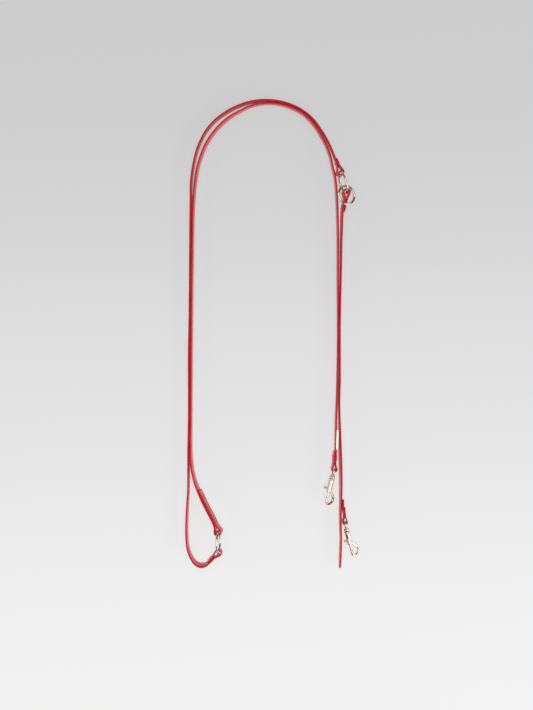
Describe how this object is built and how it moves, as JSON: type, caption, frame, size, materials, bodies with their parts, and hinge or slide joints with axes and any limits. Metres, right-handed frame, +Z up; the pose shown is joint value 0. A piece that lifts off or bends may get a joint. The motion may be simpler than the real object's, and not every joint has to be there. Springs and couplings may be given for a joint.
{
  "type": "multi-position leather dog lead",
  "caption": "Leather dog lead of joined straps with rings and a bolt snap at each working end, lying on its strap edges; it clips to a collar or back on itself.",
  "frame": {"origin": "centre of the lead's outline on the floor it lies on", "axes": "+Z up from the floor, +Y towards the rounded top of the lead, +X towards the side with the bolt snaps"},
  "size_m": [0.1933, 0.5179, 0.0269],
  "materials": {
    "red_leather": "semi-matte smooth leather with painted edges",
    "pale_nickel": "polished pale nickel plate",
    "spring_steel": "bare spring wire"
  },
  "bodies": {
    "long_strap": {"long_strap": "red_leather", "keeper_plate": "pale_nickel"},
    "loop_ring": {"loop_ring": "pale_nickel"},
    "loop_strap": {"loop_strap": "red_leather"},
    "link_ring": {"link_ring": "pale_nickel"},
    "free_ring": {"free_ring": "pale_nickel"},
    "tail_strap": {"tail_strap": "red_leather", "snap_tab": "red_leather"},
    "long_snap_eye": {"long_snap_eye": "pale_nickel"},
    "long_snap": {"long_snap_body": "pale_nickel", "long_snap_rivet": "pale_nickel", "long_snap_spring": "spring_steel"},
    "long_snap_bolt": {"long_snap_bolt": "pale_nickel", "long_snap_knob": "pale_nickel"},
    "tail_snap_eye": {"tail_snap_eye": "pale_nickel"},
    "tail_snap": {"tail_snap_body": "pale_nickel", "tail_snap_rivet": "pale_nickel", "tail_snap_spring": "spring_steel"},
    "tail_snap_bolt": {"tail_snap_bolt": "pale_nickel", "tail_snap_knob": "pale_nickel"}
  },
  "joints": [
    {"name": "loop_ring_spin", "type": "hinge", "parent": "long_strap", "child": "loop_ring", "pos_m": [-0.0578, -0.2286, 0.0135], "axis": [0.9957, 0, 0.0924], "continuous": true},
    {"name": "loop_strap_lift", "type": "hinge", "parent": "long_strap", "child": "loop_strap", "pos_m": [-0.0578, -0.2286, 0.0135], "axis": [1, 0, 0], "range_deg": [0, 90]},
    {"name": "link_ring_swing", "type": "hinge", "parent": "loop_strap", "child": "link_ring", "pos_m": [0.07585, 0.1771, 0.0135], "axis": [0, 0, 1], "range_deg": [0, 40]},
    {"name": "tail_strap_swing", "type": "hinge", "parent": "link_ring", "child": "tail_strap", "pos_m": [0.08255, 0.1549, 0.0135], "axis": [0, 0, 1], "range_deg": [0, 10]},
    {"name": "free_ring_slide", "type": "hinge", "parent": "link_ring", "child": "free_ring", "pos_m": [0.0792, 0.166, 0.0135], "axis": [-0.9491, -0.2866, 0.1305], "range_deg": [0, 60]},
    {"name": "long_snap_eye_swing", "type": "hinge", "parent": "long_strap", "child": "long_snap_eye", "pos_m": [0.0696, -0.1493, 0.0084], "axis": [0, 0, -1], "range_deg": [0, 60]},
    {"name": "long_snap_swivel", "type": "hinge", "parent": "long_snap_eye", "child": "long_snap", "pos_m": [0.0696, -0.1493, 0.0084], "axis": [-0.2351, -0.972, 0], "continuous": true},
    {"name": "long_snap_bolt_slide", "type": "slide", "parent": "long_snap", "child": "long_snap_bolt", "axis": [0.2351, 0.972, 0], "range_m": [0, 0.0063], "stiffness_N_per_m": 200, "springref_m": -0.003, "deforming": ["long_snap_spring"]},
    {"name": "tail_snap_eye_swing", "type": "hinge", "parent": "tail_strap", "child": "tail_snap_eye", "pos_m": [0.0816, -0.2076, 0.0084], "axis": [0, 0, 1], "range_deg": [0, 60]},
    {"name": "tail_snap_swivel", "type": "hinge", "parent": "tail_snap_eye", "child": "tail_snap", "pos_m": [0.0816, -0.2076, 0.0084], "axis": [0.2246, -0.973, -0.0523], "continuous": true},
    {"name": "tail_snap_bolt_slide", "type": "slide", "parent": "tail_snap", "child": "tail_snap_bolt", "axis": [-0.2246, 0.973, 0.0523], "range_m": [0, 0.0063], "stiffness_N_per_m": 200, "springref_m": -0.003, "deforming": ["tail_snap_spring"]}
  ]
}
